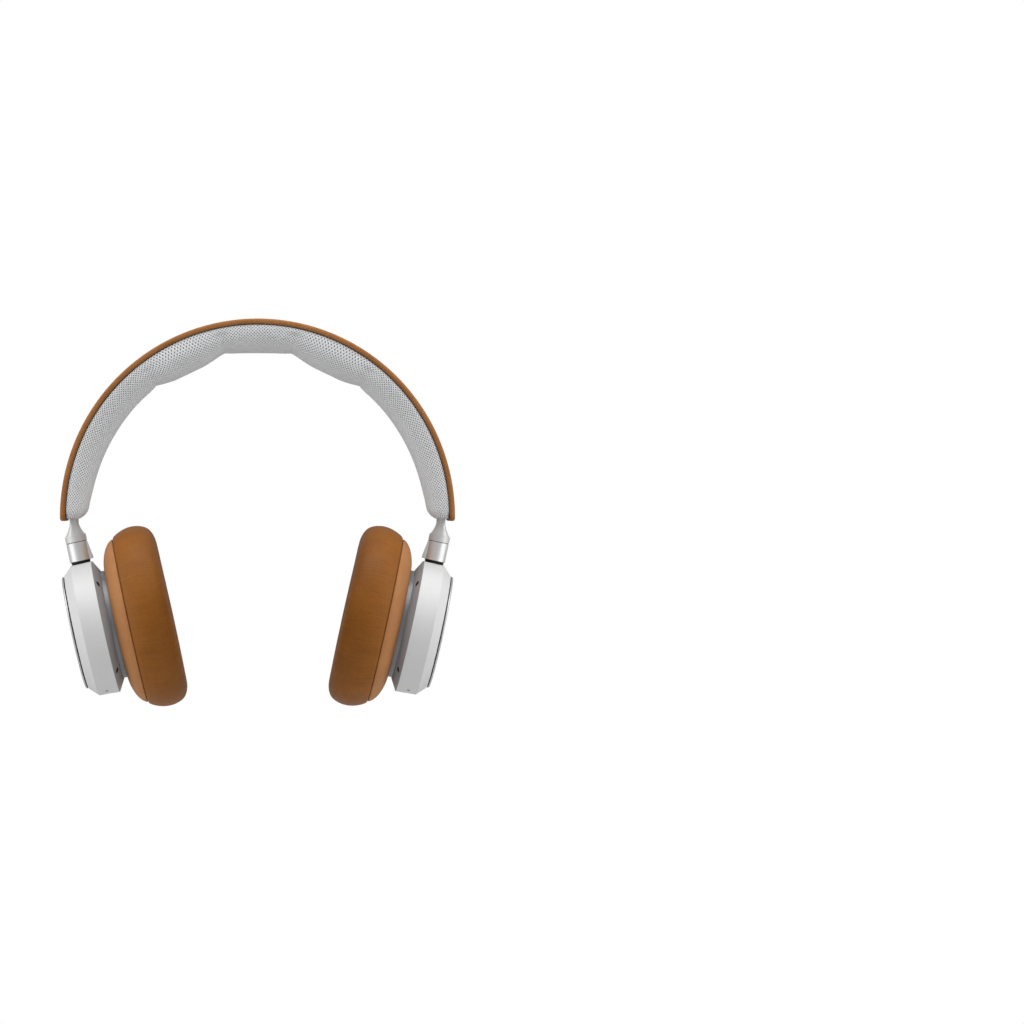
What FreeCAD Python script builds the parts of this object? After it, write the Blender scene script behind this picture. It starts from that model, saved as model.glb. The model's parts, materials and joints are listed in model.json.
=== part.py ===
"""Over ear headphones: a half-round headband, two arms that slide out of it along its curve,
and two round cups that swivel under the arms and tilt on a pin.

Frame: origin on the underside of the headband pad at the crown, where a head or a stand carries it.
+Z is up, -Y is the wearer's front, +X is the wearer's left. Lengths are millimetres, angles degrees.

Two working frames are used. The arch frame has its origin at the centre of the headband's half circle.
The cup frame has its origin at the middle of a cup, local X outwards along the cup's own axis, local Z
up towards the hinge; it is defined for the left cup, and the right one is its mirror image.
"""
import FreeCAD, Part
import math
import os
from FreeCAD import Vector as V

# Headband, as radii about the centre of its half circle
BAND_R = 98.0            # outside of the leather cover
COVER_T = 2.9            # leather cover with its thin underlay
SPRING_T = 0.6           # steel strip
CORE_T = 1.2             # plastic carrier, grooved for the strip
PAD_R = 83.0             # underside of the pad down the sides
CROWN_R = 82.0           # underside of the pad at the crown
CROWN_HALF_W = 19.0      # half the band's width at the crown
END_HALF_W = 12.5        # half its width at the ends
PAD_END_Z = -0.8         # lower end of the pad, in the arch frame
COVER_END_DEG = -1.2     # the leather runs a little past the pad

# Sliding arm: a curved blade, concentric with the band
ARM_R = 91.7
ARM_T = 4.0
ARM_HALF_W = 4.5
ARM_BOTTOM_DEG = -2.2
ARM_TOP_DEG = 26.0
ARM_TRAVEL_DEG = 12.5    # 20 mm along the curve
DETENTS = 7
GUIDE_END_DEG = 30.0
GUIDE_WALL = 0.75
GUIDE_HALF_W = 7.0
SLIDE_GAP = 0.15
NOSE_DEG = 12.0          # where the detent spring's nose stands

# Cup placing
TILT = 12.4              # the cup's lean, its top outwards
YAW = 2.0                # the cup's turn on the swivel, its pad towards the back
CUP_X, CUP_Z = 81.0, -55.5

# Swivel barrel and tilt hinge, in the cup frame
BARREL_X = 0.0
BARREL_R = 5.3
BARREL_Z0, BARREL_Z1 = 34.5, 43.8
WASHER_T = 0.3
CAP_TOP_Z = 47.4
SHAFT_R = 1.5
RUN = 0.05               # running clearance on a radius
PIN_Z = 29.0
PIN_R = 1.0
SEAT_Z = 33.0            # flat on the rim under the barrel

# Cup shell, as positions along and radii about the cup's axis
RIM_X = 5.15             # half the width of the rim band
RIM_OUT_R, RIM_IN_R = 33.1, 33.6
WALL = 1.6
PLATE_R = 28.4
PLATE_SEAT_R = 27.5      # the plate overhangs its seat and leaves a dark gap above the shell
PLATE_LOW_X = 10.0
PLATE_RIM_X, PLATE_TOP_X = 10.85, 11.6
BEVEL_TOP = (9.45, 28.75)
NECK_R = 27.2
NECK_X = -12.4           # ear side of the baffle
POST_R = 23.6            # circle of the four screw posts
QUARTERS = (45, 135, 225, 315)

# Ear pad
SEAM_X = -17.5
SEAM_R = 41.5
PAD_FACE_X = -38.6
PAD_R_MAX = 45.8
OVAL = 0.88              # the pad's width over its height
EAR_HALF_H, EAR_HALF_W = 30.0, 22.0

# Sockets and buttons
JACK_R, JACK_LEN = 1.8, 14.0
USB_W, USB_H = 8.94, 3.26
BUTTON_W = 3.4
BUTTON_PROUD = 0.5

X_AXIS, Y_AXIS, Z_AXIS = V(1, 0, 0), V(0, 1, 0), V(0, 0, 1)
ORIGIN = V(0, 0, 0)
parts = {}


# ---------------------------------------------------------------- shape helpers

def closed_wire(points, place):
    """A closed wire through flat points. A pair of points is an arc: (middle, end)."""
    edges = []
    here = points[0]
    for step in points[1:]:
        if isinstance(step[0], tuple):
            middle, end = step
            edges.append(Part.Arc(place(here), place(middle), place(end)).toShape())
        else:
            end = step
            edges.append(Part.LineSegment(place(here), place(end)).toShape())
        here = end
    if place(here).distanceToPoint(place(points[0])) > 1e-6:
        edges.append(Part.LineSegment(place(here), place(points[0])).toShape())
    return Part.Wire(edges)


def turned(points):
    """A solid of revolution about X, from a profile of (x, radius) points."""
    face = Part.Face(closed_wire(points, lambda p: V(p[0], 0, p[1])))
    return face.revolve(ORIGIN, X_AXIS, 360)


def dome(rim, top_x):
    """The arc step from a rim point up to the axis, on a sphere centred on the axis."""
    x, r = rim
    rise = top_x - x
    radius = (r * r + rise * rise) / (2 * rise)
    half = math.asin(r / abs(radius)) / 2
    middle = (top_x - radius + radius * math.cos(half), abs(radius) * math.sin(half))
    return middle, (top_x, 0)


def ring(x0, x1, r_in, r_out):
    """A flat ring or disc about X."""
    return turned([(x0, r_in), (x1, r_in), (x1, r_out), (x0, r_out)])


def rod(start, direction, radius, length):
    return Part.makeCylinder(radius, length, V(*start), V(*direction))


def block(x, y, z):
    """A box between three pairs of limits."""
    return Part.makeBox(x[1] - x[0], y[1] - y[0], z[1] - z[0], V(x[0], y[0], z[0]))


def polar(radius, degrees):
    """A point of the arch frame's X-Z plane."""
    a = math.radians(degrees)
    return radius * math.cos(a), radius * math.sin(a)


def sector(r_in, r_out, a0, a1, half_y, mid_y=0.0):
    """A curved block between two radii and two angles, concentric with the headband."""
    mid = (a0 + a1) / 2
    points = [
        polar(r_in, a0),
        polar(r_out, a0),
        (polar(r_out, mid), polar(r_out, a1)),
        polar(r_in, a1),
        (polar(r_in, mid), polar(r_in, a0)),
    ]
    wire = closed_wire(points, lambda p: V(p[0], mid_y - half_y, p[1]))
    return Part.Face(wire).extrude(V(0, 2 * half_y, 0))


def pill(length, width, depth):
    """A rounded bar: long side along Z, short side along X, standing along Y from y = 0."""
    half = (length - width) / 2
    r = width / 2
    points = [
        (-r, -half),
        ((0, -half - r), (r, -half)),
        (r, half),
        ((0, half + r), (-r, half)),
    ]
    return Part.Face(closed_wire(points, lambda p: V(p[0], 0, p[1]))).extrude(V(0, depth, 0))


def widened(shape, factor):
    """Scales a shape along Y only, which makes a round form oval."""
    m = FreeCAD.Matrix()
    m.scale(1, factor, 1)
    return shape.transformGeometry(m)


def about_x(shape, degrees):
    s = shape.copy()
    s.rotate(ORIGIN, X_AXIS, degrees)
    return s


def to_arch(shape):
    """Carries a shape from the left cup's frame to the arch frame."""
    s = shape.copy()
    s.rotate(V(BARREL_X, 0, 0), Z_AXIS, -YAW)
    s.rotate(ORIGIN, Y_AXIS, TILT)
    s.translate(V(CUP_X, 0, CUP_Z))
    return s


def keep(name, shape):
    """Stores a shape, given in the arch frame, as one of the object's pieces."""
    s = shape.removeSplitter() if shape.ShapeType != "Compound" else shape.copy()
    s.translate(V(0, 0, -CROWN_R))
    parts[name] = s


def keep_pair(name, shape, cup_frame=True):
    """Stores the left piece and its mirror image on the right."""
    left = to_arch(shape) if cup_frame else shape
    keep("left_" + name, left)
    keep("right_" + name, left.mirror(ORIGIN, X_AXIS))


def keep_side(side, name, shape):
    """Stores a piece of one cup, drawn in the left cup's frame."""
    left = to_arch(shape)
    keep(side + "_" + name, left if side == "left" else left.mirror(ORIGIN, X_AXIS))


# ---------------------------------------------------------------- headband

def plan_limit(margin):
    """The upright prism inside the band's outline as seen from above, less a margin all round."""
    reach = BAND_R + 2
    crown, end = CROWN_HALF_W - margin, END_HALF_W - margin
    points = [
        (-reach, -end),
        ((0, -crown), (reach, -end)),
        (reach, end),
        ((0, crown), (-reach, end)),
    ]
    face = Part.Face(closed_wire(points, lambda p: V(p[0], p[1], -reach)))
    return face.extrude(V(0, 0, 2 * reach))


def both_ends(shape):
    """A shape and its mirror image at the other end of the band."""
    return [shape, shape.mirror(ORIGIN, X_AXIS)]


COVER_IN = BAND_R - COVER_T
SPRING_IN = COVER_IN - SPRING_T
CORE_IN = COVER_IN - CORE_T
GUIDE_IN = ARM_R - ARM_T / 2 - SLIDE_GAP - GUIDE_WALL
SPRING_HALF_W = 8.0
RIVET_R = 1.1
RIVET_DEGS = (3.5, 27.5)
CABLE_Y = 9.2
CORE_MARGIN = 2.0


def rivet_rods(radius, r_in, r_out):
    """Upright pins through the strip, at the rivets' places at the left end."""
    rods = []
    for a in RIVET_DEGS:
        x, z = polar(r_in, a)
        dx, dz = polar(1, a)
        rods.append(rod((x, 0, z), (dx, 0, dz), radius, r_out - r_in))
    return rods


def headband_cover():
    strip = sector(COVER_IN, BAND_R, COVER_END_DEG, 180 - COVER_END_DEG, CROWN_HALF_W + 2)
    return strip.common(plan_limit(0))


def headband_spring():
    strip = sector(SPRING_IN, COVER_IN, 0.5, 179.5, SPRING_HALF_W)
    holes = []
    for r in rivet_rods(RIVET_R + 0.02, SPRING_IN - 1, COVER_IN + 1):
        holes += both_ends(r)
    return strip.cut(holes)


def headband_core():
    sheet = sector(CORE_IN, COVER_IN, 0.3, 179.7, CROWN_HALF_W + 2)
    sheet = sheet.common(plan_limit(CORE_MARGIN))
    groove = sector(SPRING_IN - 0.02, COVER_IN + 1, -1, 181, SPRING_HALF_W + RUN)
    pocket = sector(CORE_IN - 1, SPRING_IN, -1, GUIDE_END_DEG + 0.3, GUIDE_HALF_W + RUN)
    return sheet.cut([groove] + both_ends(pocket))


def headband_cushion():
    """The foam pad: thin at the crown, thicker on two flats beside it, with a crease at each change."""
    top = CORE_IN + 1.0
    end_z = PAD_END_Z
    half = [
        (89.5, end_z),
        ((84.6, 2.6), polar(PAD_R, 5.5)),
        (polar(PAD_R, 27.0), polar(PAD_R, 49.5)),
        (48.1, 66.5),
        (42.8, 68.2),
        (25.4, 76.6),
        (17.7, 81.5),
    ]
    left = [(top, end_z)] + half + [(0, CROWN_R)]
    right = []
    ends = [p[1] if isinstance(p[0], tuple) else p for p in half]
    for i in range(len(half) - 1, 0, -1):
        end = ends[i - 1]
        step = half[i]
        if i == len(half) - 1:
            right.append((-ends[i][0], ends[i][1]))
        if isinstance(step[0], tuple):
            right.append(((-step[0][0], step[0][1]), (-end[0], end[1])))
        else:
            right.append((-end[0], end[1]))
    outline = left + right + [(-top, end_z), (-top, 0), ((0, top), (top, 0))]
    face = Part.Face(closed_wire(outline, lambda p: V(p[0], -CROWN_HALF_W - 2, p[1])))
    pad = face.extrude(V(0, 2 * CROWN_HALF_W + 4, 0)).common(plan_limit(1.0))
    core_room = sector(CORE_IN - RUN, top + 2, -5, 185, CROWN_HALF_W + 2)
    core_room = core_room.common(plan_limit(CORE_MARGIN - RUN))
    guide_room = sector(GUIDE_IN - 0.5, top + 2, -5, GUIDE_END_DEG + 1, GUIDE_HALF_W + 0.3)
    cable_room = sector(CORE_IN - 1.3, CORE_IN + 0.1, -5, 185, 0.95, CABLE_Y)
    return pad.cut([core_room, cable_room] + both_ends(guide_room))


def arm_guide():
    """The sleeve in each end of the band that the arm slides in, open at its lower end."""
    body = sector(GUIDE_IN, SPRING_IN - 0.02, 0.3, GUIDE_END_DEG, GUIDE_HALF_W)
    channel = sector(
        ARM_R - ARM_T / 2 - SLIDE_GAP,
        ARM_R + ARM_T / 2 + SLIDE_GAP,
        -1,
        GUIDE_END_DEG - 1,
        ARM_HALF_W + SLIDE_GAP,
    )
    window = sector(GUIDE_IN - 1, GUIDE_IN + 1.2, NOSE_DEG - 2.5, NOSE_DEG + 2.5, 3.0)
    rivets = rivet_rods(RIVET_R + 0.02, ARM_R, SPRING_IN + 1)
    return body.cut([channel, window] + rivets)


def detent_spring():
    """A leaf under the guide whose nose looks through the guide's window at the arm."""
    leaf_out = GUIDE_IN - 0.03
    leaf = sector(leaf_out - 0.3, leaf_out, NOSE_DEG - 6.5, NOSE_DEG + 6.5, 2.6)
    nose_tip = ARM_R - ARM_T / 2 - 0.1
    nose = sector(leaf_out - 0.3, nose_tip, NOSE_DEG - 0.8, NOSE_DEG + 0.8, 2.2)
    return leaf.fuse(nose)


def make_headband():
    keep("headband_cover", headband_cover())
    keep("headband_spring", headband_spring())
    keep("headband_core", headband_core())
    keep("headband_cushion", headband_cushion())
    keep("headband_cable", sector(CORE_IN - 1.1, CORE_IN - 0.3, 1.0, 179.0, 0.75, CABLE_Y))
    keep_pair("arm_guide", arm_guide(), cup_frame=False)
    keep("detent_springs", Part.Compound(both_ends(detent_spring())))
    rivets = []
    for r in rivet_rods(RIVET_R, ARM_R + ARM_T / 2 + SLIDE_GAP + 0.05, COVER_IN - 0.03):
        rivets += both_ends(r)
    keep("headband_rivets", Part.Compound(rivets))


# ---------------------------------------------------------------- arm and swivel

def smooth_loop(points):
    curve = Part.BSplineCurve()
    curve.interpolate(points, PeriodicFlag=True)
    return Part.Wire(curve.toShape())


FLARE_INSET = 0.12       # the flare is this much slimmer than the cap and the blade where it enters them
FLARE_TOP_DEG = -1.0


def arm_section(t):
    """A section of the flare between the barrel's cap, t = 0, and the blade, t = 1."""
    a = math.radians(TILT)
    low_z = CAP_TOP_Z - 0.4
    low = (CUP_X + BARREL_X * math.cos(a) + low_z * math.sin(a),
           CUP_Z - BARREL_X * math.sin(a) + low_z * math.cos(a))
    high = polar(ARM_R, FLARE_TOP_DEG)
    mid = [low[i] + t * (high[i] - low[i]) for i in (0, 1)]
    lean = a * (1 - t) - math.radians(FLARE_TOP_DEG) * t
    waist = (1 - t) ** 1.8
    half_x = ARM_T / 2 + (BARREL_R - ARM_T / 2) * waist - FLARE_INSET
    half_y = ARM_HALF_W + (BARREL_R - ARM_HALF_W) * waist - FLARE_INSET
    squareness = 2 + 3 * t
    points = []
    count = 32
    for i in range(count):
        u = 2 * math.pi * i / count
        c, s = math.cos(u), math.sin(u)
        dx = half_x * math.copysign(abs(c) ** (2 / squareness), c)
        dy = half_y * math.copysign(abs(s) ** (2 / squareness), s)
        points.append(V(mid[0] + dx * math.cos(lean), dy, mid[1] - dx * math.sin(lean)))
    return smooth_loop(points)


def arm():
    """Curved blade, a flare, and the round cap that turns on the barrel."""
    blade = sector(ARM_R - ARM_T / 2, ARM_R + ARM_T / 2, ARM_BOTTOM_DEG, ARM_TOP_DEG, ARM_HALF_W)
    long_edges = [e for e in blade.Edges if e.Length > ARM_R * 0.3]
    blade = blade.makeChamfer(0.7, long_edges)
    notches = []
    step = ARM_TRAVEL_DEG / (DETENTS - 1)
    for k in range(DETENTS):
        x, z = polar(ARM_R - ARM_T / 2 - 0.25, NOSE_DEG + k * step)
        notches.append(rod((x, -2.4, z), (0, 1, 0), 0.6, 4.8))
    blade = blade.cut(notches)
    flare = Part.makeLoft([arm_section(t) for t in (0, 0.25, 0.5, 0.75, 1)], True, False)
    cap_z0 = BARREL_Z1 + WASHER_T
    cap = rod((BARREL_X, 0, cap_z0), (0, 0, 1), BARREL_R, CAP_TOP_Z - cap_z0)
    bore = rod((BARREL_X, 0, cap_z0 - 1), (0, 0, 1), SHAFT_R + 0.02, 4.0)
    return blade.fuse([flare, to_arch(cap)]).cut(to_arch(bore))


CLIP_Z = 40.75
CLIP_T = 0.55
WEB_Z = 41.5             # underside of the barrel's bearing web


def swivel_shaft():
    shaft = rod((BARREL_X, 0, 40.1), (0, 0, 1), SHAFT_R, 7.0 - RUN)
    groove = rod((BARREL_X, 0, CLIP_Z), (0, 0, 1), SHAFT_R + 1, CLIP_T)
    waist = rod((BARREL_X, 0, CLIP_Z), (0, 0, 1), SHAFT_R - 0.35, CLIP_T)
    return shaft.cut(groove.cut(waist))


def swivel_clip():
    z0, t = CLIP_Z + 0.03, CLIP_T - 0.06
    disc = rod((BARREL_X, 0, z0), (0, 0, 1), 2.9, t)
    hole = rod((BARREL_X, 0, z0 - 1), (0, 0, 1), SHAFT_R - 0.33, t + 2)
    gap = block((BARREL_X - 0.9, BARREL_X + 0.9), (-4, 0), (z0 - 1, z0 + t + 1))
    return disc.cut([hole, gap])


def swivel_barrel():
    """The turning sleeve, with a web that bears on the shaft and a rib down its inner side."""
    tube = rod((BARREL_X, 0, BARREL_Z0), (0, 0, 1), BARREL_R, BARREL_Z1 - BARREL_Z0)
    rib_points = [
        (BARREL_X - 4.6, BARREL_Z1 - 0.8),
        (BARREL_X - 5.25, BARREL_Z1 - 0.8),
        (BARREL_X - 6.5, BARREL_Z0 + 0.8),
        (BARREL_X - 6.3, BARREL_Z0),
        (BARREL_X - 4.6, BARREL_Z0),
    ]
    rib = Part.Face(closed_wire(rib_points, lambda p: V(p[0], -3.2, p[1])))
    rib = rib.extrude(V(0, 6.4, 0))
    cavity = rod((BARREL_X, 0, BARREL_Z0 - 1), (0, 0, 1), 4.3, WEB_Z - BARREL_Z0 + 1)
    bore = rod((BARREL_X, 0, WEB_Z - 1), (0, 0, 1), SHAFT_R + RUN, 5)
    return tube.fuse(rib).cut([cavity, bore])


def tilt_lug():
    """The dark plug in the barrel's foot, whose tongue hangs on the tilt pin inside the cup."""
    plug = rod((BARREL_X, 0, BARREL_Z0), (0, 0, 1), 4.28, 5.2)
    lip = rod((BARREL_X, 0, BARREL_Z0 - 0.35), (0, 0, 1), BARREL_R - 0.3, 0.35)
    tongue = block((BARREL_X - 2.2, BARREL_X + 2.2), (-3.2, 3.2), (PIN_Z, BARREL_Z0))
    foot = rod((BARREL_X, -3.2, PIN_Z), (0, 1, 0), 2.2, 6.4)
    bore = rod((BARREL_X, -5, PIN_Z), (0, 1, 0), PIN_R + RUN, 10)
    return plug.fuse([lip, tongue, foot]).cut(bore)


EAR_Y0, EAR_Y1 = 3.45, 4.65
BRACKET_Z = 24.6
BRACKET_T = 1.2
BRACKET_SCREW_Y = 7.0


def hinge_bracket():
    base = block((BARREL_X - 3, BARREL_X + 3), (-8.9, 8.9), (BRACKET_Z, BRACKET_Z + BRACKET_T))
    solids = []
    cuts = [rod((BARREL_X, -6, PIN_Z), (0, 1, 0), PIN_R + 0.01, 12)]
    for side in (-1, 1):
        y = sorted((side * EAR_Y0, side * EAR_Y1))
        solids.append(block((BARREL_X - 2.1, BARREL_X + 2.1), y, (BRACKET_Z, PIN_Z)))
        solids.append(rod((BARREL_X, y[0], PIN_Z), (0, 1, 0), 2.1, EAR_Y1 - EAR_Y0))
        cuts.append(rod((BARREL_X, side * BRACKET_SCREW_Y, BRACKET_Z - 1), (0, 0, 1), 0.9, 4))
    return base.fuse(solids).cut(cuts)


def bracket_screws():
    screws = []
    for side in (-1, 1):
        y = side * BRACKET_SCREW_Y
        head = rod((BARREL_X, y, BRACKET_Z - 1.1), (0, 0, 1), 1.5, 1.1)
        shank = rod((BARREL_X, y, BRACKET_Z), (0, 0, 1), 0.78, 5.4)
        drive = rod((BARREL_X, y, BRACKET_Z - 1.2), (0, 0, 1), 0.7, 0.7)
        screws.append(head.fuse(shank).cut(drive))
    return Part.Compound(screws)


def make_arms():
    keep_pair("arm", arm(), cup_frame=False)
    keep_pair("swivel_shaft", swivel_shaft())
    keep_pair("swivel_clip", swivel_clip())
    washer = rod((BARREL_X, 0, BARREL_Z1), (0, 0, 1), BARREL_R - 0.35, WASHER_T)
    washer = washer.cut(rod((BARREL_X, 0, BARREL_Z1 - 1), (0, 0, 1), SHAFT_R + 0.1, 3))
    keep_pair("swivel_washer", washer)
    keep_pair("swivel_barrel", swivel_barrel())
    keep_pair("tilt_lug", tilt_lug())
    keep_pair("tilt_pin", rod((BARREL_X, -4.8, PIN_Z), (0, 1, 0), PIN_R, 9.6))
    keep_pair("hinge_bracket", hinge_bracket())
    keep_pair("bracket_screws", bracket_screws())


# ---------------------------------------------------------------- cup

# A button: its place round the rim from straight back, and its length
BUTTONS = {
    "left": {"mode_button": (15.0, 7.0), "assistant_button": (-15.0, 7.0)},
    "right": {"power_button": (0.0, 11.0)},
}
MIC_DEGS = (-69.0, 111.0)  # round the rim from straight ahead: low in front, high behind
MIC_R = 0.8
PLUG_X = -0.35


def button_bar(degrees, length, width, r0, r1):
    """A rounded bar through the rim, pointing outwards at an angle from straight back."""
    bar = pill(length, width, r1 - r0)
    bar.translate(V(0, r0, 0))
    return about_x(bar, degrees)


def port_bar(long_side, short_side, z0, z1):
    """A rounded bar at the foot of the cup, pointing down, its long side along Y."""
    bar = pill(long_side, short_side, z1 - z0)
    bar.rotate(ORIGIN, X_AXIS, 90)
    bar.translate(V(PLUG_X, 0, z0))
    return bar


def seat_cut():
    """What is cut away above the flat seat, across the top of the rim."""
    return block((-RIM_X - 1, RIM_X + 1), (-8, 8), (SEAT_Z, SEAT_Z + 3))


def outer_shell(side):
    """Rim band, outer bevel and the ledge that carries the plate, with posts for the cover screws."""
    shell = turned([
        BEVEL_TOP,
        (RIM_X, RIM_OUT_R),
        (-RIM_X, RIM_IN_R),
        (-RIM_X, RIM_IN_R - WALL),
        (4.5, RIM_OUT_R - WALL),
        (7.4, 28.5),
        (7.4, 22.0),
        (8.6, 22.0),
        (8.6, PLATE_R + 0.1),
        (BEVEL_TOP[0], PLATE_R + 0.1),
    ])
    posts, holes = [], []
    for a in QUARTERS:
        y, z = polar(POST_R, a)
        posts.append(rod((NECK_X + 1.2, y, z), (1, 0, 0), 2.2, 7.6 - NECK_X - 1.2))
        holes.append(rod((NECK_X, y, z), (1, 0, 0), 0.95, 8.0))
    for y in (-BRACKET_SCREW_Y, BRACKET_SCREW_Y):
        z0 = BRACKET_Z + BRACKET_T
        posts.append(rod((BARREL_X, y, z0), (0, 0, 1), 1.8, 31.6 - z0))
        holes.append(rod((BARREL_X, y, z0 - 1), (0, 0, 1), 0.8, 5.6))
    cuts = holes + [
        seat_cut(),
        block((BARREL_X - 3.2, BARREL_X + 3.2), (-3.5, 3.5), (PIN_Z, SEAT_Z + 1)),
    ]
    for a in MIC_DEGS:
        y, z = polar(RIM_OUT_R - 3, a)
        dy, dz = polar(1, a)
        cuts.append(rod((0.7, -y, z), (0, -dy, dz), MIC_R, 6))
    for degrees, length in BUTTONS[side].values():
        cuts.append(button_bar(degrees, length + 0.3, BUTTON_W + 0.3, 29, 36))
    if side == "left":
        cuts.append(rod((PLUG_X, 0, -36), (0, 0, 1), 3.1, 6))
    else:
        cuts.append(port_bar(USB_W + 0.3, USB_H + 0.3, -36, -30))
    return shell.fuse(posts).cut(cuts)


def touch_plate():
    """The slightly domed metal disc on the cup's outer face, with a fine bevel round it."""
    rim = (PLATE_RIM_X, PLATE_R - 0.35)
    plate = turned([
        (8.65, 0),
        (8.65, PLATE_SEAT_R),
        (PLATE_LOW_X, PLATE_SEAT_R),
        (PLATE_LOW_X, PLATE_R),
        (PLATE_RIM_X - 0.35, PLATE_R),
        rim,
        dome(rim, PLATE_TOP_X),
    ])
    dish_rim = (8.6, 24.0)
    return plate.cut(turned([(8.6, 0), dish_rim, dome(dish_rim, 10.2)]))


def rear_cover():
    """The inner bevel of the cup, with a lip inside the shell and four round vents."""
    cover = turned([
        (-5.25, 33.5),
        (-8.4, 27.9),
        (-8.4, NECK_R + 0.15),
        (-7.0, NECK_R + 0.15),
        (-5.2, 30.6),
        (-3.4, 30.6),
        (-3.4, 31.35),
        (-5.25, 31.35),
    ])
    vents = []
    for a in QUARTERS:
        y, z = polar(30.5, a)
        vents.append(rod((-9, y, z), (1, 0, 0), 1.4, 7))
    return cover.cut(vents + [seat_cut()])


def baffle():
    """Round neck and front wall: the driver sits behind it and the ear pad clips on to it."""
    body = turned([
        (-7.2, NECK_R),
        (NECK_X, NECK_R),
        (NECK_X, 19.2),
        (NECK_X + 1.2, 19.2),
        (NECK_X + 1.2, NECK_R - 1.2),
        (-7.2, NECK_R - 1.2),
    ])
    holes = []
    for a in QUARTERS:
        y, z = polar(POST_R, a)
        holes.append(rod((NECK_X - 1, y, z), (1, 0, 0), 1.1, 4))
    return body.cut(holes)


def cover_screws():
    screws = []
    for a in QUARTERS:
        y, z = polar(POST_R, a)
        head = rod((NECK_X - 1.0, y, z), (1, 0, 0), 1.9, 1.0)
        shank = rod((NECK_X, y, z), (1, 0, 0), 0.93, 7.0)
        drive = rod((NECK_X - 1.1, y, z), (1, 0, 0), 0.9, 0.7)
        screws.append(head.fuse(shank).cut(drive))
    return Part.Compound(screws)


def driver_pieces():
    """The 40 mm loudspeaker: basket, magnet, coil and cone."""
    frame = turned([
        (-11.2, 21.2), (-9.8, 21.2), (-9.8, 20.0), (-5.2, 12.8), (-5.2, 9.2),
        (-6.1, 9.2), (-6.1, 12.3), (-10.4, 19.0), (-11.2, 19.0),
    ])
    magnet = turned([
        (-7.0, 0), (-0.8, 0), (-0.8, 9.1), (-6.0, 9.1), (-6.0, 4.2), (-1.8, 4.2),
        (-1.8, 3.2), (-7.0, 3.2),
    ])
    cap_rim, cap_back = (-9.8, 4.2), (-9.5, 4.2)
    cone = turned([
        (-10.55, 18.7), (-11.0, 16.5), (-10.0, 12.0), cap_rim, dome(cap_rim, -10.6),
        (-9.5, 0), cap_back, (-9.7, 12.0), (-10.7, 16.5), (-10.3, 18.7),
    ])
    cone = cone.cut(turned([(-9.4, 0), (-9.4, 4.0), (-9.5, 4.0), dome((-9.5, 4.0), -10.3)]))
    return {
        "driver_frame": frame,
        "driver_magnet": magnet,
        "voice_coil": ring(-9.2, -4.0, 3.5, 3.9),
        "driver_cone": cone,
    }


def circuit_board():
    board = rod((3.2, 0, 0), (1, 0, 0), 20.5, 1.0)
    chips = [
        block((4.2, 5.3), (-6, 1), (2, 9)),
        block((4.2, 5.0), (4, 9), (-3, 2)),
        block((4.2, 5.6), (-10, -4), (-9, -5)),
        block((4.2, 4.9), (6, 12), (6, 10)),
    ]
    return board.fuse(chips)


def pad_carrier():
    """The rigid, leather-wrapped dish behind the pad, which clips round the neck."""
    dish = turned([
        (-10.6, 24.0),
        (-10.9, 31.0),
        ((-13.3, 38.2), (SEAM_X, SEAM_R)),
        (SEAM_X, SEAM_R - 1.5),
        ((-14.4, 37.0), (-12.4, 31.0)),
        (-12.4, 24.0),
    ])
    dish = widened(dish, OVAL)
    return dish.cut(rod((-20, 0, 0), (1, 0, 0), NECK_R + 0.3, 20))


def oval_rod(x0, x1, half_h, half_w):
    disc = rod((x0, 0, 0), (1, 0, 0), half_h, x1 - x0)
    return widened(disc, half_w / half_h)


def ear_pad():
    """The foam ring round the ear, flat where it meets the head."""
    end_x = PAD_FACE_X - 0.05
    body = turned([
        (SEAM_X - 0.1, SEAM_R + 0.2),
        ((-21.8, 44.4), (-27.5, PAD_R_MAX)),
        (-30.5, PAD_R_MAX - 0.2),
        ((-35.9, 43.0), (end_x, 37.0)),
        (end_x, 0),
        (-14.3, 0),
        (-14.3, 35.0),
        (SEAM_X - 0.1, 39.3),
    ])
    opening = oval_rod(PAD_FACE_X - 1, -13.0, EAR_HALF_H, EAR_HALF_W)
    span = (-PAD_R_MAX, PAD_R_MAX)
    beyond_face = block((PAD_FACE_X - 1, PAD_FACE_X), span, span)
    return widened(body, OVAL).cut([opening, beyond_face])


def jack_socket():
    body = block((PLUG_X - 3.2, PLUG_X + 3.2), (-3.4, 3.4), (-30.3, -17.6))
    nose = rod((PLUG_X, 0, -33.2), (0, 0, 1), 3.0, 3.2)
    bore = rod((PLUG_X, 0, -33.2), (0, 0, 1), JACK_R, JACK_LEN)
    return body.fuse(nose).cut(bore)


def usb_socket():
    """A metal sleeve with its tongue inside, on a short foot."""
    sleeve = port_bar(USB_W, USB_H, -33.0, -25.8)
    hollow = port_bar(USB_W - 0.6, USB_H - 0.6, -34.0, -26.6)
    tongue = block((PLUG_X - 0.35, PLUG_X + 0.35), (-3.35, 3.35), (-32.2, -26.0))
    foot = block((PLUG_X - 1.6, PLUG_X + 1.6), (-4.4, 4.4), (-25.8, -24.6))
    return sleeve.cut(hollow).fuse([tongue, foot])


def button(degrees, length):
    """A bar that follows the rim's curve, with a flange that holds it in the shell."""
    crown_r = RIM_IN_R - 0.25 + BUTTON_PROUD
    cap = button_bar(degrees, length, BUTTON_W, 30.6, crown_r + 1)
    cap = cap.common(rod((-RIM_X, 0, 0), (1, 0, 0), crown_r, 2 * RIM_X))
    flange = button_bar(degrees, length + 1.4, BUTTON_W + 1.4, 29.8, 30.6)
    return cap.fuse(flange)


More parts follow.
